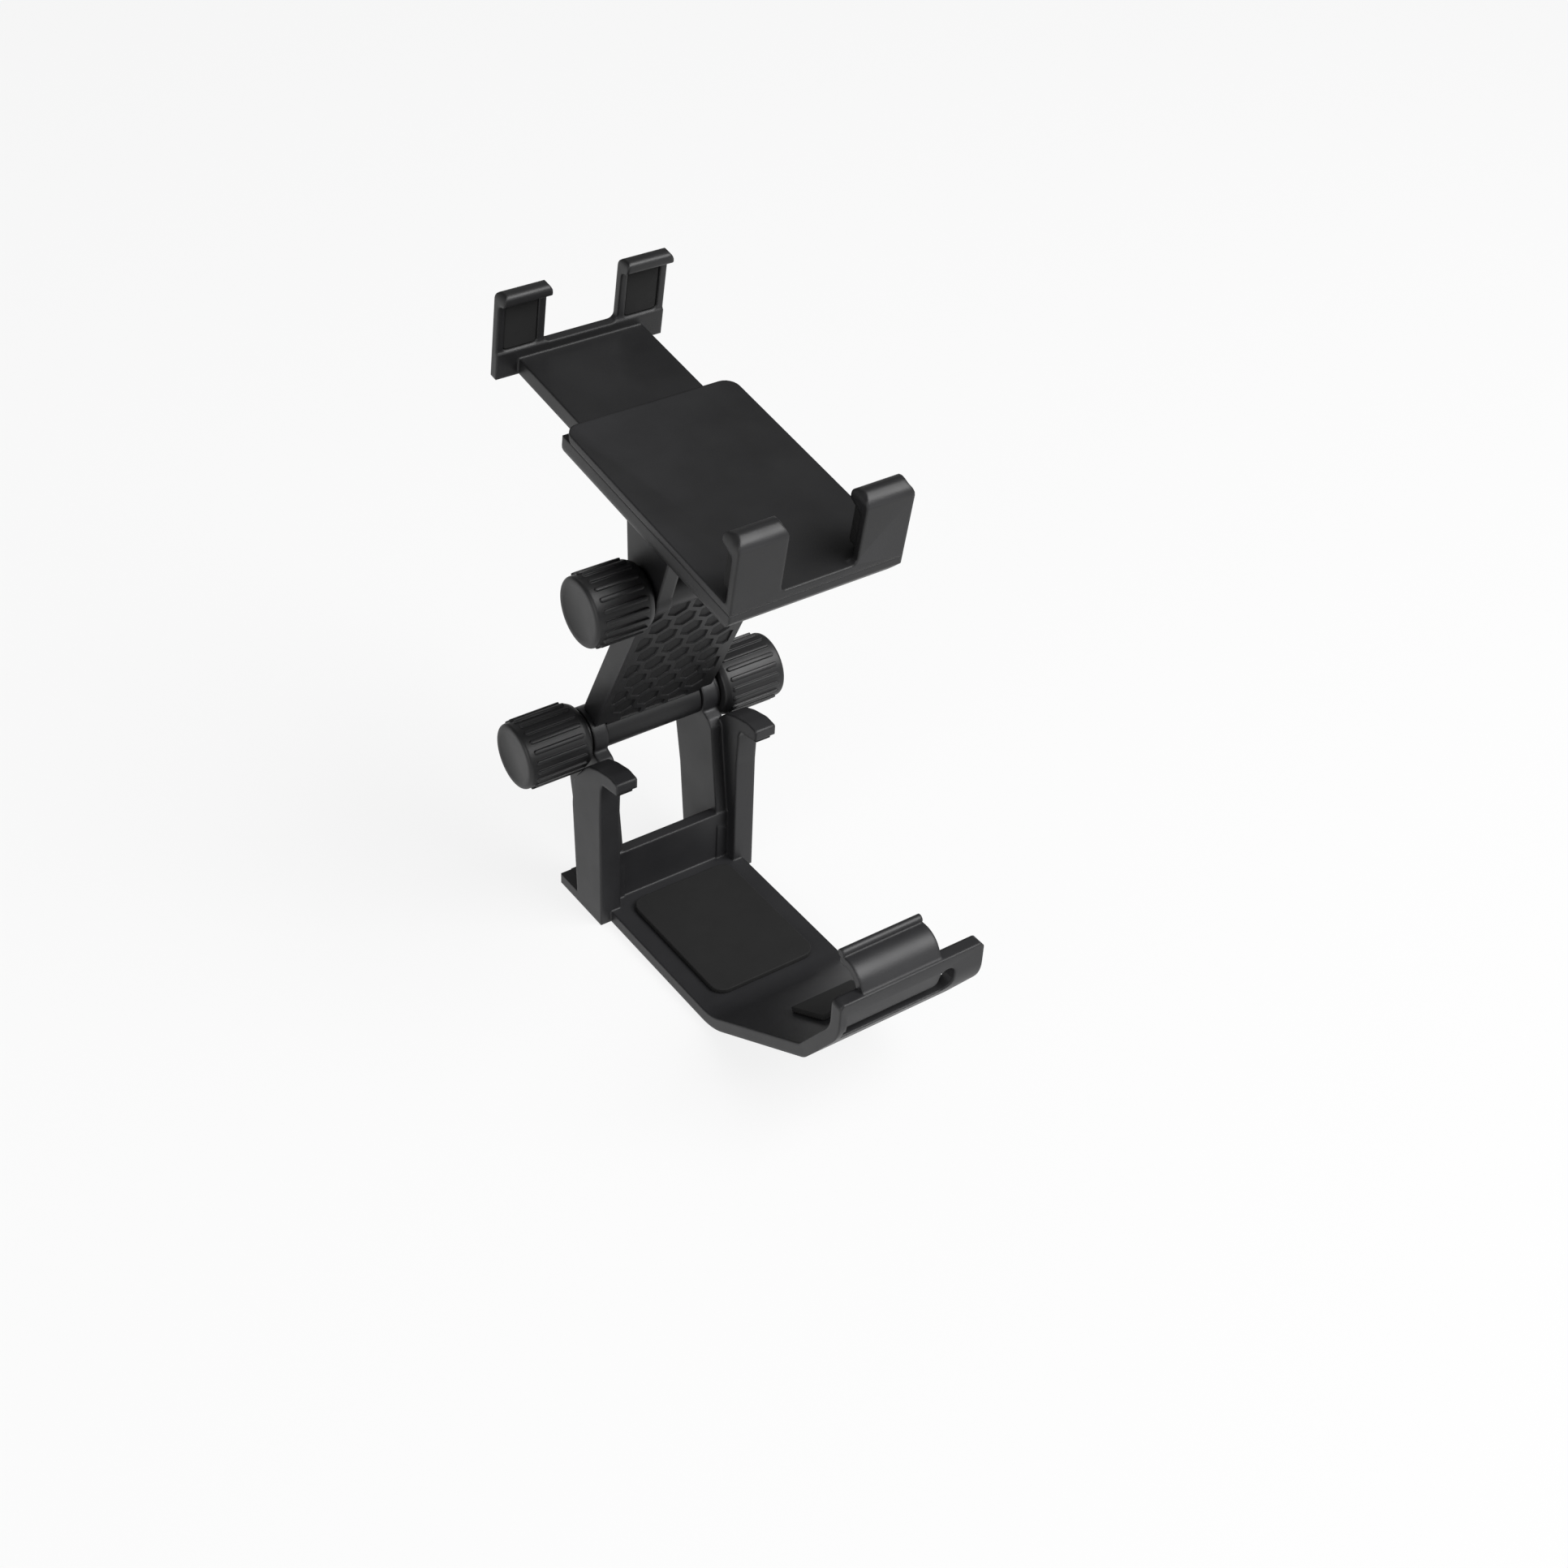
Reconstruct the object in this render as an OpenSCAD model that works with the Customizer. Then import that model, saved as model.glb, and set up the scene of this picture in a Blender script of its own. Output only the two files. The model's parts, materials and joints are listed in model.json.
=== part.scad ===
// Folding phone clip for a game pad: a cradle that snaps round the pad, a tilting arm and a sprung phone clamp.
// The frame is in millimetres: X to the user's right, Y away from the user, Z up.
// The origin lies on the face that the clip stands on, below the lower hinge and on the middle plane.

/* [Phone clamp] */
// Width between the front pads and the back fingers as stored
grip_w = 77.4; // [64:0.2:86]
// Width across the jaws, along X
jaw_w = 38.4; // [37.4:0.2:44]
// Gap between the two fingers of a jaw
finger_gap = 17; // [14:0.5:20]
// Height of the fingers above the seat
finger_h = 15; // [12:0.1:18]
// Wall of a finger
finger_t = 1.6; // [1.5:0.1:3]
// How far the lips of the front fingers stand out from their wall
front_lip = 3.5; // [2.4:0.1:5]
// How far the lips of the back fingers stand out from their wall
back_lip = 2.2; // [2:0.1:4]
// Thickness of the seat plate under the phone
seat_t = 1.7; // [1.5:0.1:3]
// Height of the lower shell
shell_h = 5.2; // [5:0.1:7]
// Length of the shells behind the front jaw
shell_len = 57.5; // [54:0.5:62]
// Length of the sliding tongue
tongue_len = 58; // [56:0.5:62]
// Tilt of the seat, with its front edge low
clamp_tilt = 8; // [0:1:20]
// Distance from the upper hinge axis up to the seat
seat_z = 22.3; // [20:0.1:26]
// Distance from the upper hinge axis back to the middle of the phone
seat_y = 12.2; // [10:0.1:14]

/* [Arm] */
// Length of the arm between its two hinge axes
arm_len = 53.5; // [48:0.5:70]
// Width of the arm
arm_w = 28.8; // [28:0.2:29.6]
// Thickness of the arm
arm_t = 5.2; // [4.8:0.1:6]
// Depth from the front face of the arm back to the hinge axes
arm_front = 2.2; // [1.8:0.1:2.6]
// Lean of the arm towards the user
arm_lean = 25; // [0:1:40]
// Distance between the centres of neighbouring honeycomb pockets
hex_pitch = 5.87; // [5:0.01:7]
// Rib between neighbouring honeycomb pockets
hex_rib = 1.2; // [0.8:0.1:1.6]
// Depth of the honeycomb pockets
hex_depth = 0.35; // [0.2:0.05:0.6]

/* [Hinges] */
// Height of the lower hinge axis above the ground
hinge_z = 41; // [38:0.5:46]
// Radius of the round barrels of the arm
barrel_r = 4.7; // [4.2:0.1:5]
// Length of the round barrels of the arm
barrel_len = 23.2; // [20:0.2:24]
// Radius of the hinge ears
ear_r = 5.3; // [5:0.1:5.6]
// Thickness of the hinge ears
ear_t = 3.5; // [3:0.1:4]
// Radius of the hinge bolts
bolt_r = 2; // [1.5:0.1:2.4]
// Length of the hinge bolts
bolt_len = 52; // [48:0.5:54]

/* [Knobs] */
// Radius of a knob without its ribs
knob_r = 7.15; // [6.5:0.05:7.4]
// Length of a lower knob
knob_len = 15.2; // [13:0.1:17]
// Length of an upper knob
upper_knob_len = 13; // [12.6:0.1:15]
// Number of ribs round a knob
knob_ribs = 20; // [12:1:24]
// Height of the ribs
rib_h = 0.45; // [0.3:0.05:0.6]
// Width of the ribs
rib_w = 0.9; // [0.6:0.1:1.2]

/* [Cradle] */
// Distance from the lower hinge axis to the front face
front_y = 94.5; // [88:0.5:100]
// Height of the top edge of the front wall
front_z = 39.2; // [36:0.2:42]
// Width of the front wall and the floor
cradle_w = 34; // [33:0.5:35]
// Wall of the front and the slope
wall_t = 2.8; // [2.4:0.1:3.2]
// Thickness of the floor
floor_t = 2.6; // [2.2:0.1:3.2]
// Width of the snap hook
hook_w = 18.6; // [16:0.2:20]
// Offset of the snap hook from the middle plane
hook_x = -2.1; // [-3:0.1:0]
// Width of one rear claw
claw_w = 4.9; // [4:0.1:6]
// Width over both rear claws
claw_span = 39.1; // [38.5:0.1:42]
// Thickness of the legs inside the claws
leg_t = 2.7; // [2.2:0.1:3]

/* [Hidden] */

// Clearances
gap = 0.3;
fit = 0.06;
eps = 0.01;

// Facets of true rounds, and points on each rounded corner
$fn = 64;
corner_n = 6;

// Colours
plastic = [0.17, 0.17, 0.18];
rubber = [0.08, 0.08, 0.085];
steel = [0.62, 0.63, 0.65];
brass = [0.72, 0.58, 0.3];

// Hinges
ear_in = barrel_len / 2 + gap;
ear_out = ear_in + ear_t;
washer_t = 0.8;
washer_r = 5;
knob_in = ear_out + washer_t + gap;
knob_chamfer = 0.8;
rib_margin = 1.7;
rib_root = 0.5;
insert_r = 3.3;
insert_len = 8;
knob_bore_end = bolt_len / 2 - knob_in + 1;

// Arm
arm_cut_r = ear_r + gap;
arm_edge = 0.5;
hex_row = hex_pitch * sqrt(3) / 2;
hex_r = (hex_pitch - hex_rib) / sqrt(3);
hex_first = 4.9;
hex_low = hex_first - 0.5;
hex_side = 1.65;
hex_rows = floor((arm_len - hex_low - hex_first) / hex_row) + 1;
cover_t = 1.2;
cover_w = 22;
cover_len = 34;
cover_corner = 2;
core_depth = 1.2;
core_wall = 1.5;
screw_r = 0.9;
screw_head_r = 1.7;
screw_head_h = 0.9;
screw_len = 3;
arm_screw_x = cover_w / 2 - 2.6;
arm_screw_z = cover_len / 2 - 2.6;
boss_r = 2.2;

// Clamp, measured from the upper hinge axis with Y along the seat and Z square to it
lip_t = 2;
lip_r = 0.9;
lip_drop = 0.9;
lip_slope = 0.4;
top_rise = 0.3;
root_h = 0.4;
grip_rim = 1.6;
grip_front_t = 3.9;
grip_back_t = 0.7;
grip_back_seat = 0.9;
grip_low = 0.5;
pad_y = seat_y - grip_w / 2;
back_y = seat_y + grip_w / 2;
jaw_y = pad_y - grip_front_t;
front_out = jaw_y - finger_t;
back_out = back_y + finger_t;
shell_top = seat_z - seat_t;
shell_low = shell_top - shell_h;
shell_back = front_out + shell_len;
shell_floor = 1.2;
cavity_wall = 4.7;
shell_bevel_y = 2.6;
shell_bevel_z = 3.4;
shell_round = 3;
cavity_w = jaw_w - 2 * cavity_wall;
tongue_w = cavity_w - 2 * gap;
tongue_low = shell_low + shell_floor + gap;
tongue_top = shell_top - gap;
tongue_front = back_out - tongue_len;
slide_in = 22;
cavity_front = tongue_front - slide_in - gap;
finger_w = (jaw_w - finger_gap) / 2;
finger_x = finger_gap / 2 + finger_w / 2;
finger_top = seat_z + finger_h;
grip_top = finger_top - lip_drop - lip_t - lip_slope * front_lip - 0.3;
finger_round = 2.2;
valley_r = 1.4;
corner_out = 2.8;
corner_in = 2.4;
finger_peak = finger_top + top_rise;
web_half = 8;
clamp_screw_x = (jaw_w / 2 + cavity_w / 2) / 2;
clamp_screw_front = front_out + 4.6;
clamp_screw_back = shell_back - 4;
clamp_screw_len = shell_h - 2.4;

// Springs in their troughs under the tongue
spring_x = 9;
trough_w = 3.4;
trough_h = 2.3;
spring_coil_r = 0.85;
spring_wire_r = 0.2;
spring_turns = 18;
spring_steps = 9;
spring_sides = 5;
post_r = 0.6;
spring_z = tongue_low + 1.15;
post_front = cavity_front + 3.2;
post_back = shell_back - 15;

// Cradle, in the frame of the whole clip
claw_out = claw_span / 2;
claw_in = claw_out - claw_w;
leg_in = claw_in - leg_t;
slope_top = front_z - 8;
slope_mid_y = -front_y + 9.8;
slope_mid_z = front_z - 21.2;
slope_foot = -front_y + 40.8;
front_bend = 9;
slope_bend = 6;
floor_bend = 14;
floor_back = 2;
top_lip = 1.2;
tab_right = hook_x + hook_w / 2 - 0.2;
tab_low = front_z - 7.3;
tab_bend_z = front_z - 2.9;
tab_depth = 0.9;
tab_r = 1;
slot_left = -cradle_w / 2 + 1.3;
slot_right = tab_right + 3.4;
slot_top = front_z - 2.8;
slot_low = tab_low - 2;
slot_r = 3;
slot_top_r = 1.9;
hook_rise = 4.5;
hook_reach = 8.3;
hook_bend = 5;
hook_t = 1.9;
hook_bar_r = 0.9;
claw_top = hinge_z + 1.7;
claw_tip = 20.6;
claw_tip_h = 2.5;
rear_wall_h = 15;
rear_wall_y = 11.6;
pad_t = 1.2;
floor_pad_len = 34;
floor_pad_w = 25;
floor_pad_y = 32;
pad_corner = 3;
front_pad_w = 15;
front_pad_len = 12;
claw_pad_t = 0.8;
claw_pad_len = 3.6;
claw_pad_w = 3.7;

// Direction of a vector
function unit(v) = v / norm(v);

// Points of the arc that rounds the corner p1 between p0 and p2
function corner(p0, p1, p2, r) =
    let (a = unit(p0 - p1), b = unit(p2 - p1), half = acos(a * b) / 2)
    r <= 0 || half > 89.5 ? [p1] :
    let (c = p1 + unit(a + b) * r / sin(half))
    let (s = p1 + a * r / tan(half) - c, e = p1 + b * r / tan(half) - c)
    let (a0 = atan2(s[1], s[0]), turn = (atan2(e[1], e[0]) - a0 + 540) % 360 - 180)
    [for (i = [0 : corner_n]) c + r * [cos(a0 + turn * i / corner_n), sin(a0 + turn * i / corner_n)]];

// An open line through p, rounded by the radii r at its inner points
function round_path(p, r) = concat([p[0]],
    [for (i = [1 : len(p) - 2]) each corner(p[i - 1], p[i], p[i + 1], r[i])], [p[len(p) - 1]]);

// A closed outline through p, rounded by the radii r
function round_loop(p, r) = let (n = len(p))
    [for (i = [0 : n - 1]) each corner(p[(i + n - 1) % n], p[i], p[(i + 1) % n], r[i])];

// The line p moved sideways by t, to its left
function beside(p, t) = let (n = len(p)) [for (i = [0 : n - 1])
    let (a = unit(p[min(i + 1, n - 1)] - p[min(i, n - 2)]), b = unit(p[max(i, 1)] - p[max(i - 1, 0)]))
    let (m = unit([-a[1] - b[1], a[0] + b[0]]))
    p[i] + m * t / (m * [-a[1], a[0]])];

// A list in reverse
function reverse(p) = [for (i = [len(p) - 1 : -1 : 0]) p[i]];

// The outline of a sheet of thickness t that follows the line p
function sheet(p, t) = concat(p, reverse(beside(p, t)));

// A rectangle with rounded corners
function box_loop(x0, y0, x1, y1, r) =
    round_loop([[x0, y0], [x1, y0], [x1, y1], [x0, y1]], [r, r, r, r]);

// Extrudes a side view, drawn in Y and Z, from x0 to x1
module across(x0, x1) {
    translate([x0, 0, 0]) rotate([90, 0, 90]) linear_extrude(x1 - x0) children();
}

// Extrudes a front view, drawn in X and Z, from y0 to y1
module through(y0, y1) {
    translate([0, y1, 0]) rotate([90, 0, 0]) linear_extrude(y1 - y0) children();
}

// The children and their mirror image
module both() {
    children();
    mirror([1, 0, 0]) children();
}

// A round bar or ring along X
module rod(x0, x1, r) {
    translate([x0, 0, 0]) rotate([0, 90, 0]) cylinder(h = x1 - x0, r = r);
}

// Places the children on the lower hinge axis
module at_lower() {
    translate([0, 0, hinge_z]) children();
}

// Places the children in the arm's frame: its lower axis at the origin, Z along the arm
module at_arm() {
    at_lower() rotate([arm_lean, 0, 0]) children();
}

// Places the children in the clamp's frame: the upper axis at the origin
module at_clamp() {
    translate([0, -arm_len * sin(arm_lean), hinge_z + arm_len * cos(arm_lean)])
        rotate([clamp_tilt, 0, 0]) children();
}

// One screw, pointing up with the underside of its head at the origin
module screw(len) {
    translate([0, 0, -screw_head_h]) difference() {
        cylinder(h = screw_head_h, r = screw_head_r, $fn = 32);
        translate([0, 0, -eps]) cylinder(h = screw_head_h / 2, r = screw_r, $fn = 6);
    }
    translate([0, 0, -eps]) cylinder(h = len + eps, r = screw_r, $fn = 32);
}

// Cradle

// The line of the cradle's outer face, from the back of the floor to the top of the front wall
cradle_line = round_path([[floor_back, 0], [slope_foot, 0], [slope_mid_y, slope_mid_z],
    [-front_y, slope_top], [-front_y, front_z]], [0, floor_bend, slope_bend, front_bend, 0]);

// Where the cradle's outer face lies at the height z of the front wall
function cradle_line_y(z) = let (n = len(cradle_line), above = [for (i = [1 : n - 1])
    if (cradle_line[i][1] >= z && cradle_line[i - 1][1] < z) i][0])
    let (p = cradle_line[above - 1], q = cradle_line[above])
    p[0] + (q[0] - p[0]) * (z - p[1]) / (q[1] - p[1]);

module cradle_sheet() {
    inner = beside(cradle_line, -wall_t);
    difference() {
        across(-cradle_w / 2, cradle_w / 2) polygon(concat(cradle_line, reverse(inner)));
        through(-front_y - wall_t, -front_y + 3 * wall_t) tab_slot();
        tab_slope();
        front_corners();
    }
}

// The J-shaped slot that frees the press tab, drawn in X and Z
module tab_slot() {
    difference() {
        union() {
            translate([slot_left, slot_low]) square([slot_right - slot_r - slot_left, slot_r + eps]);
            translate([slot_left, slot_low + slot_r])
                square([slot_right - slot_left, slot_top - slot_top_r - slot_low - slot_r]);
            translate([slot_right - slot_r, slot_low + slot_r]) circle(r = slot_r);
            translate([slot_right - slot_top_r, slot_top - slot_top_r]) circle(r = slot_top_r);
        }
        translate([slot_left - 1, tab_low]) square([tab_right - tab_r - slot_left + 1, tab_r + eps]);
        translate([slot_left - 1, tab_low + tab_r]) square([tab_right - slot_left + 1, front_z]);
        translate([tab_right - tab_r, tab_low + tab_r]) circle(r = tab_r);
    }
}

// What is cut off the face of the press tab, which leans in towards its lower edge
module tab_slope() {
    face = [cradle_line_y(tab_bend_z), cradle_line_y(tab_low) + tab_depth];
    across(slot_left + 0.5, tab_right + eps) polygon([[-front_y - 1, tab_bend_z], [face[0], tab_bend_z],
        [face[1], tab_low], [face[1], slot_low + 1], [-front_y - 1, slot_low + 1]]);
}

// What is cut away to round the upper corners of the front wall
module front_corners() {
    both() through(-front_y - wall_t, -front_y + 2 * wall_t) difference() {
        translate([cradle_w / 2 - top_lip, front_z - top_lip]) square(2 * top_lip);
        translate([cradle_w / 2 - top_lip, front_z - top_lip]) circle(r = top_lip);
    }
}

// The curved hook above the press tab, with a bead along its lip
module snap_hook() {
    line = round_path([[-front_y, front_z - 1.2], [-front_y + 3.4, front_z + hook_rise],
        [-front_y + hook_reach, front_z + hook_rise - 0.3]], [0, hook_bend, 0]);
    translate([hook_x, 0, 0]) {
        across(-hook_w / 2, hook_w / 2) polygon(sheet(line, -hook_t));
        translate([0, -front_y + hook_reach - 0.1, front_z + hook_rise + 0.1])
            rod(-hook_w / 2, hook_w / 2, hook_bar_r);
    }
}

// Side view of a leg with its ear
module leg_side() {
    polygon(round_loop([[-4, hinge_z + 3.4], [-4.9, hinge_z - 2.4], [-6.9, hinge_z - 3.3],
        [-8.2, hinge_z - 4.8], [-8.8, hinge_z - 9.5], [-11.8, hinge_z - 30], [-12, eps], [floor_back - 1, eps],
        [floor_back + 1.4, hinge_z - 21], [5.4, hinge_z - 11], [5.2, hinge_z]],
        [0, 0.8, 0.6, 0.8, 3, 6, 0, 0, 6, 8, 0]));
}

// Side view of a claw on its post
module claw_side() {
    polygon(round_loop([[-3.6, hinge_z - 8.2], [-8.4, hinge_z - 2], [-9.7, hinge_z - 0.9], [-13, claw_top - 1.2],
        [-17.5, claw_top - 0.1], [-claw_tip, claw_top - 0.4], [-claw_tip, claw_top - 0.4 - claw_tip_h],
        [-15, claw_top - 3.9], [-14.3, claw_top - 5.6], [-14, hinge_z - 12], [-14.6, eps],
        [-5, eps], [-3.2, hinge_z - 15]],
        [1.6, 1, 2, 6, 4, 0.4, 0.4, 1, 0.5, 6, 0, 0, 8]));
}

module base_cradle() color(plastic) {
    difference() {
        union() {
            cradle_sheet();
            snap_hook();
            both() across(leg_in, ear_out) leg_side();
            both() across(claw_in, claw_out) claw_side();
            both() at_lower() rod(ear_in, ear_out, ear_r);
            translate([-claw_out, -14, 0]) cube([claw_span, 14 + floor_back, floor_t]);
            translate([-claw_in - eps, -rear_wall_y, 0])
                cube([2 * (claw_in + eps), floor_t, rear_wall_h]);
        }
        at_lower() rod(-claw_span, claw_span, bolt_r + fit);
    }
}

module floor_pad() color(rubber) {
    translate([0, -floor_pad_y, wall_t]) linear_extrude(pad_t)
        polygon(box_loop(-floor_pad_w / 2, -floor_pad_len / 2, floor_pad_w / 2, floor_pad_len / 2,
            pad_corner));
}

// A strip of rubber on the inner face of the slope
module front_pad() color(rubber) {
    run = unit([slope_foot - slope_mid_y, -slope_mid_z]);
    start = beside([[slope_mid_y, slope_mid_z], [slope_foot, 0]], wall_t)[0] + run * 6;
    across(-front_pad_w / 2, front_pad_w / 2)
        polygon(sheet([start, start + run * front_pad_len], pad_t));
}

// A small pad under the tip of the right claw
module claw_pad() color(rubber) {
    low = claw_top - 0.4 - claw_tip_h;
    slope = unit([claw_tip - 15, -1]);
    start = [-claw_tip, low] + slope * 0.7;
    across(claw_in + (claw_w - claw_pad_w) / 2, claw_out - (claw_w - claw_pad_w) / 2)
        polygon(sheet([start, start + slope * claw_pad_len], -claw_pad_t));
}

module claw_pad_right() claw_pad();
module claw_pad_left() mirror([1, 0, 0]) claw_pad();

// Hinge hardware

module hinge_bolt() color(steel) rod(-bolt_len / 2, bolt_len / 2, bolt_r);

module washer() color(steel) difference() {
    rod(ear_out, ear_out + washer_t, washer_r);
    rod(ear_out - 1, ear_out + washer_t + 1, bolt_r + fit);
}

// A ribbed knob on the right-hand end of a bolt, with a pocket for its threaded insert
module knob(len) color(plastic) translate([knob_in, 0, 0]) difference() {
    union() {
        rotate([0, 90, 0]) rotate_extrude() polygon(round_loop(
            [[0, 0], [knob_r - 0.6, 0], [knob_r, 1.2], [knob_r, len], [0, len]],
            [0, 0.5, 0.5, knob_chamfer, 0]));
        for (i = [0 : knob_ribs - 1]) rotate([i * 360 / knob_ribs, 0, 0])
            translate([rib_margin, -rib_w / 2, knob_r - rib_root])
                cube([len - 2 * rib_margin, rib_w, rib_h + rib_root]);
    }
    rod(-1, insert_len, insert_r);
    rod(-1, knob_bore_end, bolt_r + 4 * fit);
}

module insert() color(brass) translate([knob_in, 0, 0]) difference() {
    rod(0, insert_len, insert_r);
    rod(-1, insert_len + 1, bolt_r + fit);
}

module lower_bolt() at_lower() hinge_bolt();
module lower_washer_right() at_lower() washer();
module lower_washer_left() at_lower() mirror([1, 0, 0]) washer();
module lower_knob_right() at_lower() knob(knob_len);
module lower_knob_left() at_lower() mirror([1, 0, 0]) knob(knob_len);
module lower_insert_right() at_lower() insert();
module lower_insert_left() at_lower() mirror([1, 0, 0]) insert();
module upper_bolt() at_clamp() hinge_bolt();
module upper_washer_right() at_clamp() washer();
module upper_washer_left() at_clamp() mirror([1, 0, 0]) washer();
module upper_knob_right() at_clamp() knob(upper_knob_len);
module upper_knob_left() at_clamp() mirror([1, 0, 0]) knob(upper_knob_len);
module upper_insert_right() at_clamp() insert();
module upper_insert_left() at_clamp() mirror([1, 0, 0]) insert();

// Arm

// The honeycomb pockets, drawn in X and Z and cut off at a plain border
module honeycomb() {
    half = arm_w / 2 - hex_side;
    intersection() {
        translate([-half, hex_low]) square([2 * half, arm_len - 2 * hex_low]);
        for (row = [0 : hex_rows - 1], col = [-3 : 3]) {
            x = (col + (row % 2) / 2) * hex_pitch;
            keep = row == 0 ? hex_pitch * 1.5 : half;
            if (abs(x) < keep) translate([x, hex_first + row * hex_row]) rotate(30)
                circle(r = hex_r, $fn = 6);
        }
    }
}

// The cover's outline, drawn in X and Z about the middle of the arm
module cover_outline(spare) {
    translate([0, arm_len / 2]) polygon(box_loop(-cover_w / 2 - spare, -cover_len / 2 - spare,
        cover_w / 2 + spare, cover_len / 2 + spare, cover_corner));
}

module arm_screw_places() {
    for (x = [-arm_screw_x, arm_screw_x], z = [-arm_screw_z, arm_screw_z])
        translate([x, 0, arm_len / 2 + z]) children();
}

module arm() color(plastic) at_arm() difference() {
    union() {
        translate([0, 0, 0]) across(-arm_w / 2, arm_w / 2) polygon(round_loop(
            [[-arm_front, hex_low - 0.5], [arm_t - arm_front, hex_low - 0.5],
            [arm_t - arm_front, arm_len - hex_low + 0.5], [-arm_front, arm_len - hex_low + 0.5]],
            [0, arm_edge, arm_edge, 0]));
        rod(-barrel_len / 2, barrel_len / 2, barrel_r);
        translate([0, 0, arm_len]) rod(-barrel_len / 2, barrel_len / 2, barrel_r);
    }
    through(-arm_front - 1, -arm_front + hex_depth) honeycomb();
    for (z = [0, arm_len]) translate([0, 0, z]) {
        rod(-arm_w, arm_w, bolt_r + fit);
        both() rod(barrel_len / 2, arm_w, arm_cut_r);
    }
    through(arm_t - arm_front - cover_t, arm_t) cover_outline(gap / 2);
    through(arm_t - arm_front - cover_t - core_depth, arm_t) difference() {
        cover_outline(-core_wall);
        for (x = [-arm_screw_x, arm_screw_x], z = [-arm_screw_z, arm_screw_z])
            translate([x, arm_len / 2 + z]) circle(r = boss_r);
    }
    arm_screw_places() translate([0, arm_t, 0]) rotate([90, 0, 0])
        cylinder(h = arm_t - (arm_t - arm_front - cover_t) + screw_len - screw_head_h, r = screw_r, $fn = 32);
}

module arm_cover() color(plastic) at_arm() difference() {
    through(arm_t - arm_front - cover_t, arm_t - arm_front) cover_outline(0);
    arm_screw_places() {
        translate([0, arm_t, 0]) rotate([90, 0, 0]) cylinder(h = arm_t + arm_front, r = screw_r + 0.1, $fn = 32);
        translate([0, arm_t, 0]) rotate([90, 0, 0])
            cylinder(h = arm_front + screw_head_h, r = screw_head_r + 0.1, $fn = 32);
    }
}

module arm_screws() color(steel) at_arm() arm_screw_places()
    translate([0, arm_t - arm_front - screw_head_h, 0]) rotate([90, 0, 0])
        screw(screw_len - screw_head_h);

// Clamp

// Side view of a finger from low up, with its inner face at 0 and its lip reaching out by reach
module finger_side(reach, low) {
    nose = finger_top - lip_drop;
    top_r = min(finger_round, finger_t + reach - lip_r - 0.1);
    polygon(round_loop([[-finger_t, low], [-finger_t, finger_top + top_rise], [reach, nose],
        [reach, nose - lip_t], [0, nose - lip_t - lip_slope * reach], [0, seat_z + root_h],
        [root_h, seat_z - eps], [root_h, low]],
        [0, top_r, lip_r, lip_r, 1, 0.6, 0.3, 0]));
}

// Front view of the two fingers, joined below the valley between them
module fingers_front(low) {
    polygon(round_loop([[-jaw_w / 2, low], [jaw_w / 2, low], [jaw_w / 2, finger_peak],
        [finger_gap / 2, finger_peak], [finger_gap / 2, seat_z], [-finger_gap / 2, seat_z],
        [-finger_gap / 2, finger_peak], [-jaw_w / 2, finger_peak]],
        [0, 0, corner_out, corner_in, valley_r, valley_r, corner_in, corner_out]));
}

// Two fingers with their inner faces at Y = 0
module fingers(reach, low) {
    intersection() {
        across(-jaw_w / 2, jaw_w / 2) finger_side(reach, low);
        through(-finger_t - 1, reach + 1) fingers_front(low);
    }
}

module clamp_seat() color(plastic) at_clamp() difference() {
    union() {
        translate([0, jaw_y, 0]) fingers(front_lip, shell_top);
        translate([0, 0, shell_top]) linear_extrude(seat_t) polygon(round_loop(
            [[-jaw_w / 2, front_out], [jaw_w / 2, front_out], [jaw_w / 2, shell_back],
            [-jaw_w / 2, shell_back]], [0, 0, 3, 3]));
    }
    clamp_screw_places() translate([0, 0, -eps]) cylinder(h = seat_t - 0.6, r = screw_r, $fn = 32);
}

module clamp_screw_places() {
    for (x = [-clamp_screw_x, clamp_screw_x], y = [clamp_screw_front, clamp_screw_back])
        translate([x, y, shell_top]) children();
}

// Side view of the lower shell, with its bevelled front
module shell_side() {
    polygon(round_loop([[front_out, shell_top], [front_out, shell_top - (shell_h - shell_bevel_z)],
        [front_out + shell_bevel_y, shell_low], [shell_back, shell_low], [shell_back, shell_top]],
        [0, 0.6, 2, 1, 0]));
}

// Side view of an ear of the upper hinge
module ear_side() {
    polygon([[-web_half, shell_low + 1], [-ear_r * 0.97, 1], [ear_r * 0.97, 1], [web_half, shell_low + 1]]);
}

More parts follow.
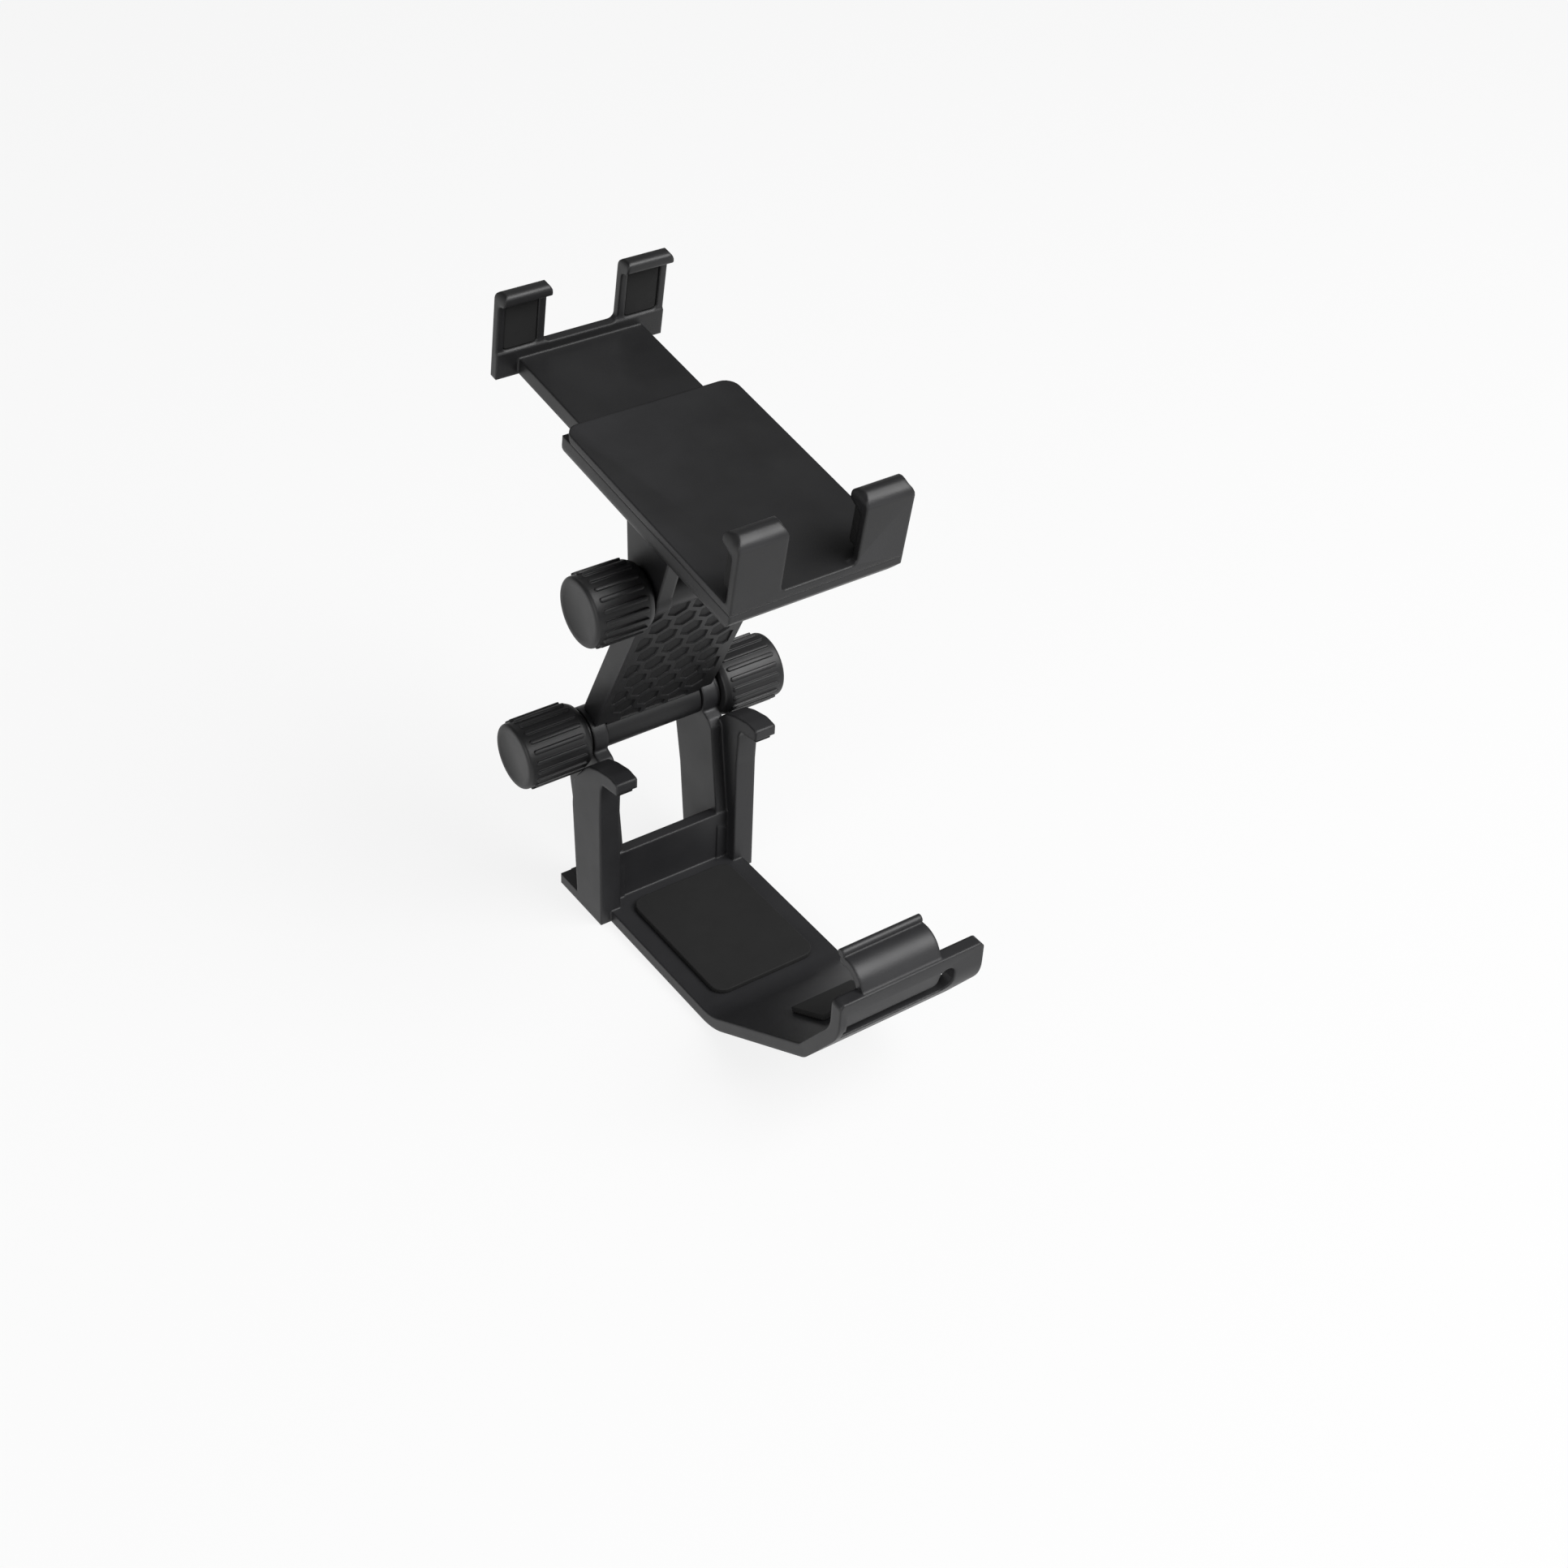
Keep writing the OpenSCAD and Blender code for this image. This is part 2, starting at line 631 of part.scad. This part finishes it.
module clamp_shell() color(plastic) at_clamp() difference() {
    union() {
        intersection() {
            across(-jaw_w / 2, jaw_w / 2) shell_side();
            through(front_out, shell_back + 1) polygon(round_loop(
                [[-jaw_w / 2, shell_low], [jaw_w / 2, shell_low], [jaw_w / 2, shell_top],
                [-jaw_w / 2, shell_top]], [shell_round, shell_round, 0, 0]));
        }
        both() across(ear_in, ear_out) ear_side();
        both() rod(ear_in, ear_out, ear_r);
        both() translate([spring_x, post_front, shell_low + 0.5])
            cylinder(h = tongue_low + trough_h - gap - shell_low - 0.5, r = post_r, $fn = 24);
    }
    rod(-jaw_w, jaw_w, bolt_r + fit);
    difference() {
        translate([-cavity_w / 2, cavity_front, shell_low + shell_floor])
            cube([cavity_w, shell_len * 2, shell_h]);
        both() translate([spring_x, post_front, shell_low])
            cylinder(h = tongue_low + trough_h - gap - shell_low, r = post_r, $fn = 24);
    }
    clamp_screw_places() {
        translate([0, 0, -shell_h - 1]) cylinder(h = shell_h + 2, r = screw_r + 0.1, $fn = 32);
        translate([0, 0, -shell_h - 1])
            cylinder(h = shell_h + 1 - clamp_screw_len, r = screw_head_r + 0.1, $fn = 32);
    }
}

module clamp_screws() color(steel) at_clamp() clamp_screw_places()
    translate([0, 0, -clamp_screw_len]) screw(clamp_screw_len + seat_t - 0.8);

// A grip pad on the inner face of the right front finger
module front_grip() color(rubber) at_clamp()
    through(jaw_y, jaw_y + grip_front_t) polygon(box_loop(finger_gap / 2 + grip_rim, seat_z + grip_low,
        jaw_w / 2 - grip_rim, grip_top, 1.4));

module front_grip_right() front_grip();
module front_grip_left() mirror([1, 0, 0]) front_grip();

// Sliding jaw

// Where the pads of the back fingers lie, drawn in X and Z
module back_grip_outline(spare) {
    polygon(box_loop(finger_gap / 2 + grip_rim - spare, seat_z + grip_low - spare,
        jaw_w / 2 - grip_rim + spare, grip_top + 0.7 + spare, 0.8));
}

module sliding_jaw() color(plastic) at_clamp() difference() {
    union() {
        translate([0, back_y, 0]) mirror([0, 1, 0]) fingers(back_lip, tongue_low - gap);
        translate([-tongue_w / 2, tongue_front, tongue_low])
            cube([tongue_w, tongue_len - finger_t / 2, tongue_top - tongue_low]);
    }
    both() {
        difference() {
            translate([spring_x - trough_w / 2, tongue_front - 1, tongue_low - 1])
                cube([trough_w, post_back + 2 - tongue_front + 1, trough_h + 1]);
            translate([spring_x, post_back, tongue_low]) cylinder(h = trough_h + 1, r = post_r, $fn = 24);
        }
        through(back_y - 1, back_y + grip_back_seat) back_grip_outline(gap / 6);
    }
}

module back_grip() color(rubber) at_clamp()
    through(back_y + grip_back_seat - grip_back_t, back_y + grip_back_seat) back_grip_outline(0);

module back_grip_right() back_grip();
module back_grip_left() mirror([1, 0, 0]) back_grip();

// Points of one ring of the spring's wire, at angle a along the coil
function wire_ring(a, y0, pitch) = [for (k = [0 : spring_sides - 1])
    let (b = k * 360 / spring_sides, r = spring_coil_r + spring_wire_r * cos(b))
    [r * cos(a), y0 + pitch * a / 360 + spring_wire_r * sin(b), r * sin(a)]];

module spring() color(steel) at_clamp() translate([spring_x, 0, spring_z]) {
    rings = spring_turns * spring_steps;
    y0 = post_front + 2 * spring_wire_r;
    pitch = (post_back - post_front - 4 * spring_wire_r) / spring_turns;
    points = [for (i = [0 : rings]) each wire_ring(i * 360 / spring_steps, y0, pitch)];
    sides = [for (i = [0 : rings - 1], k = [0 : spring_sides - 1]) let (m = (k + 1) % spring_sides)
        [i * spring_sides + k, i * spring_sides + m, (i + 1) * spring_sides + m, (i + 1) * spring_sides + k]];
    ends = [reverse([for (k = [0 : spring_sides - 1]) k]),
        [for (k = [0 : spring_sides - 1]) rings * spring_sides + k]];
    polyhedron(points, concat(sides, ends));
}

module spring_right() spring();
module spring_left() mirror([1, 0, 0]) spring();

base_cradle();
floor_pad();
front_pad();
claw_pad_left();
claw_pad_right();
lower_bolt();
lower_washer_left();
lower_washer_right();
lower_knob_left();
lower_knob_right();
lower_insert_left();
lower_insert_right();
arm();
arm_cover();
arm_screws();
clamp_seat();
clamp_shell();
clamp_screws();
front_grip_left();
front_grip_right();
upper_bolt();
upper_washer_left();
upper_washer_right();
upper_knob_left();
upper_knob_right();
upper_insert_left();
upper_insert_right();
sliding_jaw();
back_grip_left();
back_grip_right();
spring_left();
spring_right();
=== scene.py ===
import bpy, bmesh, json, math
from mathutils import Matrix, Vector

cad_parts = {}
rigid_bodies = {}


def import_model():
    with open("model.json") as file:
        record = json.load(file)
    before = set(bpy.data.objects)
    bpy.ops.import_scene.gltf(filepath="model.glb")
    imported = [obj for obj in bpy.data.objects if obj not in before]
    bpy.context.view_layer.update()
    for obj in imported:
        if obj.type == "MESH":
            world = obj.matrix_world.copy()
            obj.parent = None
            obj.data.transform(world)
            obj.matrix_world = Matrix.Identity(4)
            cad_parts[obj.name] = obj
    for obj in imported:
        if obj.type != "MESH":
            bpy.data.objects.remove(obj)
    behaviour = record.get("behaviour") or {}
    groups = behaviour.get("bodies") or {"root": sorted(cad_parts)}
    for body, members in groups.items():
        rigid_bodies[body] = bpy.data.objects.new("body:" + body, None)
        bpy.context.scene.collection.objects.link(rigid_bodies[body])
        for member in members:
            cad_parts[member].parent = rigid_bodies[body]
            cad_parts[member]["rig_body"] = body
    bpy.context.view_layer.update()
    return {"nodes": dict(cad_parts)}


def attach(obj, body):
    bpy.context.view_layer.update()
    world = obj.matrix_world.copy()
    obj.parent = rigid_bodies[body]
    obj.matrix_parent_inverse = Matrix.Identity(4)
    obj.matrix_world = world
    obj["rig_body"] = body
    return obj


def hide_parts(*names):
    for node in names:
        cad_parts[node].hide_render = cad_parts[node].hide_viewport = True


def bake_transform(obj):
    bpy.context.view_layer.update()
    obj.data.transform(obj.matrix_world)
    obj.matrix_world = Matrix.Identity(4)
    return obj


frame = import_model()
scene = bpy.context.scene


# ---- Cradle ----
# One moulding in glass-filled nylon: floor, slope and front wall bent round the pad, a press tab freed by a
# J-shaped slot, a snap hook with a beaded lip, two legs with claws and the ears of the lower hinge.
# The mould's spark-eroded faces leave an even, dull grain. The soft edges are shading, by the nylon's Bevel node.

def linear(code):
    """A Blender colour from an sRGB hex code."""
    parts = [int(code[i:i + 2], 16) / 255 for i in (1, 3, 5)]
    return tuple(c / 12.92 if c <= 0.04045 else ((c + 0.055) / 1.055) ** 2.4 for c in parts) + (1.0,)


def add_node(material, kind, links=None, **settings):
    """Adds a node: settings are its properties or input values, links feed its inputs from other outputs."""
    node = material.node_tree.nodes.new("ShaderNode" + kind)
    for key, value in settings.items():
        if hasattr(node, key):
            setattr(node, key, value)
        else:
            node.inputs[key.replace("_", " ")].default_value = value
    for key, source in (links or {}).items():
        material.node_tree.links.new(source, node.inputs[key])
    return node


def moulded_nylon(name, low, painted_edge_colour, gloss_low, gloss_high, edge_round):
    """Black glass-filled nylon from a spark-eroded mould: dull, with a fine grain and a painted highlight on its
    convex edges; edge_round softens its edges.
    """
    m = bpy.data.materials.new(name)
    m.use_nodes = True
    m.node_tree.nodes.clear()
    place = add_node(m, "TexCoord").outputs["Object"]
    # the grain of a spark-eroded face is about 0.05 mm; drawn at 0.3 mm so that it shows
    grain = add_node(m, "TexNoise", {"Vector": place}, Scale=3200.0, Detail=2.0, Roughness=0.6)
    # slow changes of gloss where the melt froze at different speeds, about 12 mm across
    flow = add_node(m, "TexNoise", {"Vector": place}, Scale=80.0, Detail=3.0, Roughness=0.55)
    gloss = add_node(m, "MapRange", {"Value": flow.outputs["Fac"]},
                     From_Min=0.3, From_Max=0.7, To_Min=gloss_low, To_Max=gloss_high)
    tone = add_node(m, "MapRange", {"Value": flow.outputs["Fac"]},
                    From_Min=0.3, From_Max=0.7, To_Min=0.92, To_Max=1.08)
    # painted highlight: convex edges, found by pointiness, are coloured up to half way towards painted_edge_colour,
    # as where light catches them
    edge = add_node(m, "MapRange", {"Value": add_node(m, "NewGeometry").outputs["Pointiness"]},
                    From_Min=0.53, From_Max=0.62, To_Min=0.0, To_Max=0.5)
    colour = add_node(m, "Mix", {0: edge.outputs["Result"]}, data_type="RGBA")
    colour.inputs[6].default_value = linear(low)
    colour.inputs[7].default_value = linear(painted_edge_colour)
    shade = add_node(m, "HueSaturation", {"Color": colour.outputs[2], "Value": tone.outputs["Result"]})
    soft = add_node(m, "Bevel", samples=8, Radius=edge_round)
    bump = add_node(m, "Bump", {"Height": grain.outputs["Fac"], "Normal": soft.outputs["Normal"]},
                    Strength=0.32, Distance=0.00005)
    skin = add_node(m, "BsdfPrincipled", {"Base Color": shade.outputs["Color"],
                    "Roughness": gloss.outputs["Result"], "Normal": bump.outputs["Normal"]}, IOR=1.46)
    add_node(m, "OutputMaterial", {"Surface": skin.outputs["BSDF"]})
    return m


def dress(piece, name):
    """Lets a visual piece ride on the CAD node's body and take its place; the CAD node is hidden."""
    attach(piece, frame["nodes"][name]["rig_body"])
    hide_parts(name)


def softened(name, radius, material, shape=None):
    """A copy of a CAD node with its sharp edges bevelled by at most radius; shape reworks its mesh first."""
    mesh = frame["nodes"][name].data.copy()
    piece = bpy.data.objects.new(name + "_skin", mesh)
    scene.collection.objects.link(piece)
    bm = bmesh.new()
    bm.from_mesh(mesh)
    bmesh.ops.remove_doubles(bm, verts=bm.verts, dist=2e-6)
    bmesh.ops.dissolve_limit(bm, angle_limit=math.radians(0.6), verts=bm.verts, edges=bm.edges)
    if shape:
        shape(bm)
    for face in bm.faces:
        face.smooth = True
    bm.to_mesh(mesh)
    bm.free()
    mesh.materials.clear()
    mesh.materials.append(material)
    bevel = piece.modifiers.new("edge", "BEVEL")
    bevel.width = radius
    bevel.segments = 2
    # the overlap limit is left on, and keeps the radius near nothing on pieces with short edges
    bevel.limit_method = "ANGLE"
    bevel.angle_limit = math.radians(32)
    bevel.miter_outer = "MITER_ARC"
    # large flat faces keep their own normal, so that only the broken edges look round
    even = piece.modifiers.new("even", "WEIGHTED_NORMAL")
    even.mode = "FACE_AREA"
    even.weight = 100
    even.keep_sharp = True
    dress(piece, name)
    return piece


# the second colour of each nylon is its painted edge highlight
nylon = moulded_nylon("moulded_black_nylon", "#161617", "#28282a", 0.44, 0.52, 0.0002)
soft_nylon = moulded_nylon("soft_edged_black_nylon", "#161617", "#28282a", 0.44, 0.52, 0.0008)
softened("base_cradle", 0.0002, soft_nylon)


# ---- Rubber pads of the cradle ----
# Soft silicone rubber, cut from sheet and glued to the floor, the slope and the claws.
# It keeps the game pad from slipping and from being scratched.

def silicone():
    """Black silicone rubber sheet: very dull, with a faint haze of dust."""
    m = bpy.data.materials.new("black_silicone_rubber")
    m.use_nodes = True
    m.node_tree.nodes.clear()
    place = add_node(m, "TexCoord").outputs["Object"]
    grain = add_node(m, "TexNoise", {"Vector": place}, Scale=3000.0, Detail=3.0, Roughness=0.65)
    haze = add_node(m, "TexNoise", {"Vector": place}, Scale=140.0, Detail=4.0, Roughness=0.6)
    colour = add_node(m, "Mix", {0: haze.outputs["Fac"]}, data_type="RGBA")
    colour.inputs[6].default_value = linear("#101010")
    colour.inputs[7].default_value = linear("#1a1a1a")
    bump = add_node(m, "Bump", {"Height": grain.outputs["Fac"]}, Strength=0.3, Distance=0.00004)
    skin = add_node(m, "BsdfPrincipled", {"Base Color": colour.outputs[2], "Normal": bump.outputs["Normal"]},
                    Roughness=0.82, IOR=1.41)
    add_node(m, "OutputMaterial", {"Surface": skin.outputs["BSDF"]})
    return m


rubber = silicone()
for name in ("floor_pad", "front_pad", "claw_pad_left", "claw_pad_right"):
    softened(name, 0.00025, rubber)


# ---- Hinge bolts and washers ----
# Steel bolts through the ears and barrels, bright zinc plated.
# The plain washers under the knobs are nylon.

def zinc_steel():
    """Zinc-plated steel: pale grey metal with a soft sheen and faint turning marks."""
    m = bpy.data.materials.new("zinc_plated_steel")
    m.use_nodes = True
    m.node_tree.nodes.clear()
    place = add_node(m, "TexCoord").outputs["Object"]
    marks = add_node(m, "TexNoise", {"Vector": place}, Scale=2200.0, Detail=3.0, Roughness=0.6)
    gloss = add_node(m, "MapRange", {"Value": marks.outputs["Fac"]}, To_Min=0.25, To_Max=0.42)
    bump = add_node(m, "Bump", {"Height": marks.outputs["Fac"]}, Strength=0.12, Distance=0.00002)
    skin = add_node(m, "BsdfPrincipled", {"Roughness": gloss.outputs["Result"],
                    "Normal": bump.outputs["Normal"]}, Base_Color=linear("#9a9b9e"), Metallic=1.0)
    add_node(m, "OutputMaterial", {"Surface": skin.outputs["BSDF"]})
    return m


zinc = zinc_steel()
for name in ("lower_bolt", "upper_bolt"):
    softened(name, 0.0003, zinc)
for name in ("lower_washer_left", "lower_washer_right", "upper_washer_left", "upper_washer_right"):
    softened(name, 0.00015, nylon)


# ---- Knobs ----
# Ribbed thumb knobs in the same nylon, turned as one body with 20 raised ribs.
# Brass threaded inserts are moulded in.

def turned_brass():
    """Turned brass: warm yellow metal, lightly dulled."""
    m = bpy.data.materials.new("turned_brass")
    m.use_nodes = True
    m.node_tree.nodes.clear()
    place = add_node(m, "TexCoord").outputs["Object"]
    marks = add_node(m, "TexNoise", {"Vector": place}, Scale=1500.0, Detail=3.0, Roughness=0.6)
    gloss = add_node(m, "MapRange", {"Value": marks.outputs["Fac"]}, To_Min=0.25, To_Max=0.45)
    skin = add_node(m, "BsdfPrincipled", {"Roughness": gloss.outputs["Result"]},
                    Base_Color=linear("#c8a35a"), Metallic=1.0)
    add_node(m, "OutputMaterial", {"Surface": skin.outputs["BSDF"]})
    return m


def ribbed_knob(name, side, pose, length):
    """A turned knob with raised ribs that end in half rounds; lengths in millimetres along the hinge."""
    bm = bmesh.new()
    ring_count, rib_count, knob_r, rib_h, end_round, knob_in = 96, 20, 7.15, 0.45, 0.8, 0.0165
    pocket_depth, pocket_r = 8.0, 3.3
    turn = [(pocket_depth, 0.0), (pocket_depth, pocket_r), (0.0, pocket_r), (0.0, 6.3), (0.1, 6.55), (0.35, 6.72),
            (1.15, 7.1), (1.4, knob_r)]
    turn += [(length - end_round + end_round * math.sin(a), knob_r - end_round + end_round * math.cos(a))
             for a in [i * math.pi / 12 for i in range(7)]]
    turn += [(length, 5.6), (length - 0.15, 5.3), (length - 0.15, 0.0)]
    rings = [[bm.verts.new((x, r * math.cos(a), r * math.sin(a))) for a in
              [i * 2 * math.pi / ring_count for i in range(ring_count)]] if r else [bm.verts.new((x, 0, 0))]
             for x, r in turn]
    for a, b in zip(rings, rings[1:]):
        for i in range(ring_count):
            j = (i + 1) % ring_count
            quad = [a[i % len(a)], a[j % len(a)], b[j % len(b)], b[i % len(b)]]
            bm.faces.new(list(dict.fromkeys(quad)))
    start, end, half, tip = 1.7, length - 1.7, 0.45, knob_r + rib_h
    for rib in range(rib_count):
        turned = Matrix.Rotation(rib * 2 * math.pi / rib_count, 3, "X")
        loops = []
        for inset, r in ((0.0, knob_r - 0.4), (0.0, tip - 0.16), (0.05, tip - 0.05), (0.16, tip)):
            w = half - inset
            halves = [i * math.pi / 8 for i in range(9)]
            arc = [(start + half - w * math.sin(a), w * math.cos(a)) for a in halves]
            arc += [(end - half + w * math.sin(a), -w * math.cos(a)) for a in halves]
            loops.append([bm.verts.new(turned @ Vector((x, y, r))) for x, y in arc])
        for a, b in zip(loops, loops[1:]):
            for i in range(18):
                bm.faces.new((a[i - 1], a[i], b[i], b[i - 1]))
        bm.faces.new(loops[-1])
    bmesh.ops.transform(bm, matrix=pose @ Matrix.Diagonal((side, 1, 1, 1)) @ Matrix.Translation((knob_in, 0, 0))
                        @ Matrix.Scale(0.001, 4), verts=bm.verts)
    bmesh.ops.recalc_face_normals(bm, faces=bm.faces)
    mesh = bpy.data.meshes.new(name + "_skin")
    bm.to_mesh(mesh)
    bm.free()
    mesh.shade_smooth()
    mesh.set_sharp_from_angle(angle=math.radians(38))
    mesh.materials.append(nylon)
    piece = bpy.data.objects.new(name + "_skin", mesh)
    scene.collection.objects.link(piece)
    dress(piece, name)


brass = turned_brass()
lower_pose = Matrix.Translation((0, 0, 0.041))
upper_pose = Matrix.Translation((0, -0.02261, 0.089487)) @ Matrix.Rotation(math.radians(8), 4, "X")
for hinge, pose, length in (("lower", lower_pose, 15.2), ("upper", upper_pose, 13.0)):
    for side, sign in (("left", -1), ("right", 1)):
        ribbed_knob(f"{hinge}_knob_{side}", sign, pose, length)
        softened(f"{hinge}_insert_{side}", 0.0001, brass)


# ---- Arm ----
# A flat nylon arm between two round barrels, its front moulded with a honeycomb of shallow pockets.
# A thin cover closes the cored-out back, held by four small countersunk screws.
arm = softened("arm", 0.00022, nylon)

# painted shade: the floors of the pockets get a darker, duller nylon than the ribs, standing in for the shade in
# the recesses
arm.data.materials.append(moulded_nylon("pocket_floor_painted_shade_nylon", "#0e0e0f", "#161617", 0.6, 0.68, 0.0002))
lean = math.radians(25)
arm_out = Vector((0, -math.cos(lean), -math.sin(lean)))
hinge = lower_pose.to_translation()
# the faces at the depth of the pocket floors take the painted shade
for face in arm.data.polygons:
    depth = (face.center - hinge).dot(arm_out)
    if face.normal.dot(arm_out) > 0.99 and 0.0015 < depth < 0.0021:
        face.material_index = 1
softened("arm_cover", 0.0002, nylon)
softened("arm_screws", 0.00008, zinc)


# ---- Clamp ----
# The seat plate with the two front fingers, screwed down on a lower shell that carries the upper hinge's ears.
# Rubber grips lie on the inner faces of the fingers.

def in_clamp(place):
    """A place in the clamp's frame, in millimetres."""
    return upper_pose.inverted() @ Vector(place) * 1000


def arch_tops(bm):
    """The tops of the front fingers are slightly arched, highest in the middle."""
    for i in range(10):
        cut = upper_pose @ Vector((0, (-30.7 + i * 0.43) / 1000, 0))
        near = [v for v in bm.verts if in_clamp(v.co).z > 30]
        edges = list({e for v in near for e in v.link_edges})
        faces = list({f for v in near for f in v.link_faces})
        bmesh.ops.bisect_plane(bm, geom=near + edges + faces, dist=1e-7, plane_co=cut,
                               plane_no=upper_pose.to_3x3() @ Vector((0, 1, 0)))
    for v in bm.verts:
        p = in_clamp(v.co)
        across = (p.y + 28.8) / 2.1
        if abs(across) < 1 and p.z > 34.4:
            p.z += 0.4 * (1 - across ** 2) ** 2 * min(1, (p.z - 34.4) / 2.2)
            v.co = upper_pose @ (p / 1000)


softened("clamp_seat", 0.0002, soft_nylon, shape=arch_tops)
softened("clamp_shell", 0.0002, soft_nylon)
softened("clamp_screws", 0.00008, zinc)
for name in ("front_grip_left", "front_grip_right"):
    softened(name, 0.0006, rubber)


# ---- Sliding jaw ----
# A flat tongue that runs inside the shell and carries the two back fingers.
# Two steel springs draw it in.
softened("sliding_jaw", 0.0002, soft_nylon)
for name in ("back_grip_left", "back_grip_right"):
    softened(name, 0.0003, rubber)

# each spring is hooked to the shell at its front end and to the jaw at its back end; its two ends are found along
# the clamp but not used, and the coil keeps the CAD shape
for name in ("spring_left", "spring_right"):
    coil = frame["nodes"][name].data.copy()
    coil.materials.clear()
    coil.materials.append(zinc)
    coil.shade_smooth()
    spring = bpy.data.objects.new(name + "_skin", coil)
    scene.collection.objects.link(spring)
    places = [in_clamp(v.co) for v in coil.vertices]
    front, back = (Vector((0, pick(p.y for p in places), 0)) for pick in (min, max))
    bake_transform(spring)
    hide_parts(name)


# ---- Studio ----
# A white sweep under the clip and a pale even surround.
# A broad soft key light from the front right and above, with a weak fill from the left and one from behind.

def sweep_white():
    """Matte white paper that shows as white to the camera and keeps the clip's shadow."""
    m = bpy.data.materials.new("white_paper_sweep")
    m.use_nodes = True
    m.node_tree.nodes.clear()
    paper = add_node(m, "BsdfPrincipled", Base_Color=linear("#d2d2d2"), Roughness=0.9)
    glow = add_node(m, "Emission", Color=(1, 1, 1, 1), Strength=1.0)
    ray = add_node(m, "LightPath").outputs
    clear = add_node(m, "Math", {0: ray["Is Camera Ray"], 1: ray["Is Glossy Ray"]}, operation="MAXIMUM")
    clear = add_node(m, "Math", {0: clear.outputs[0], 1: ray["Is Transmission Ray"]}, operation="MAXIMUM")
    seen = add_node(m, "Math", {0: clear.outputs[0]}, operation="MULTIPLY")
    seen.inputs[1].default_value = 0.85
    both = add_node(m, "MixShader", {0: seen.outputs[0], 1: paper.outputs["BSDF"], 2: glow.outputs[0]})
    add_node(m, "OutputMaterial", {"Surface": both.outputs[0]})
    return m


bm = bmesh.new()
bmesh.ops.create_grid(bm, x_segments=1, y_segments=1, size=6)
floor_mesh = bpy.data.meshes.new("floor")
bm.to_mesh(floor_mesh)
bm.free()
floor_mesh.materials.append(sweep_white())
floor = bpy.data.objects.new("floor", floor_mesh)
scene.collection.objects.link(floor)

world = bpy.data.worlds.new("surround")
world.use_nodes = True
world.node_tree.nodes["Background"].inputs["Color"].default_value = (1, 1, 1, 1)
world.node_tree.nodes["Background"].inputs["Strength"].default_value = 0.12
scene.world = world

target = Vector((0, -0.03, 0.07))
for name, place, size, power in (("key", (0.42, -0.6, 0.9), 0.8, 18.5), ("fill", (-0.9, -0.4, 0.4), 0.6, 4.0),
                                 ("back", (0.1, 0.8, 0.8), 0.6, 0.8)):
    lamp = bpy.data.lights.new(name, "AREA")
    lamp.size = size
    lamp.energy = power
    holder = bpy.data.objects.new(name, lamp)
    holder.location = place
    holder.rotation_euler = (target - Vector(place)).to_track_quat("-Z", "Y").to_euler()
    scene.collection.objects.link(holder)

lens = bpy.data.cameras.new("camera")
lens.sensor_width = 36
lens.sensor_height = 36
lens.lens = 36 * 3000 / 1932
lens.clip_start = 0.01
camera = bpy.data.objects.new("camera", lens)
right, up = Vector((0.8177, -0.5738, 0.0465)), Vector((0.3288, 0.5317, 0.7804))
ahead = Vector((0.4725, 0.6229, -0.6235))
turn = Matrix((right, up, -ahead)).transposed().to_4x4()
camera.matrix_world = Matrix.Translation((-0.2243, -0.3463, 0.3511)) @ turn
scene.collection.objects.link(camera)
scene.camera = camera
scene.view_settings.view_transform = "Standard"
